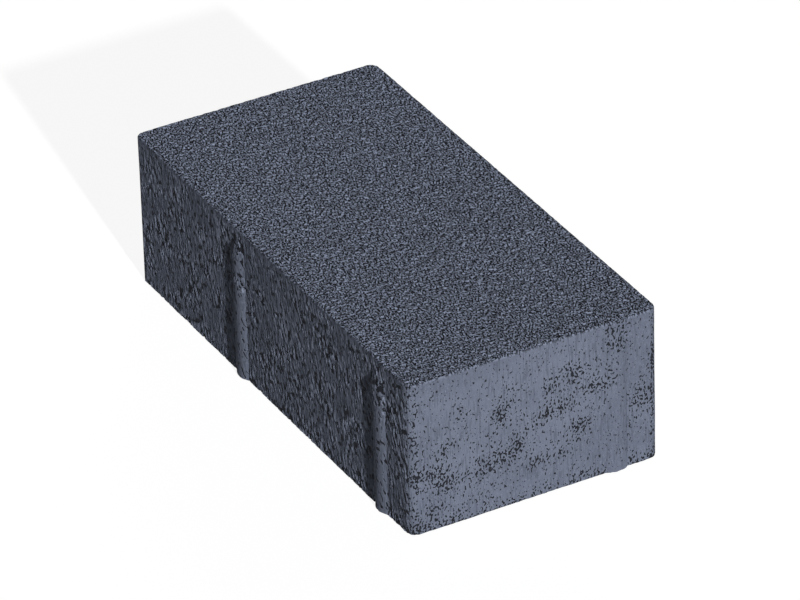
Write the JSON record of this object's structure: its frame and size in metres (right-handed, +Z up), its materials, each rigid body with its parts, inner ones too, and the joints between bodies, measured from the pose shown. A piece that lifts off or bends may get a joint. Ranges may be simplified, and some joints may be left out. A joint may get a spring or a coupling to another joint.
{
  "type": "concrete paver",
  "caption": "Rectangular pressed-concrete paver with rounded upright corners and tapered spacer nibs on its sides, laid flat on a sand bed to surface paths and drives.",
  "frame": {"origin": "centre of the bed face, the flat underside that the paver is laid on", "axes": "+X along the length, +Y across the width, +Z up through the wearing face"},
  "size_m": [0.201, 0.101, 0.06],
  "materials": {
    "concrete": "blue-grey anthracite pressed concrete, matt, with fine open grain and small pits"
  },
  "bodies": {
    "root": {"paver": "concrete"}
  },
  "joints": []
}
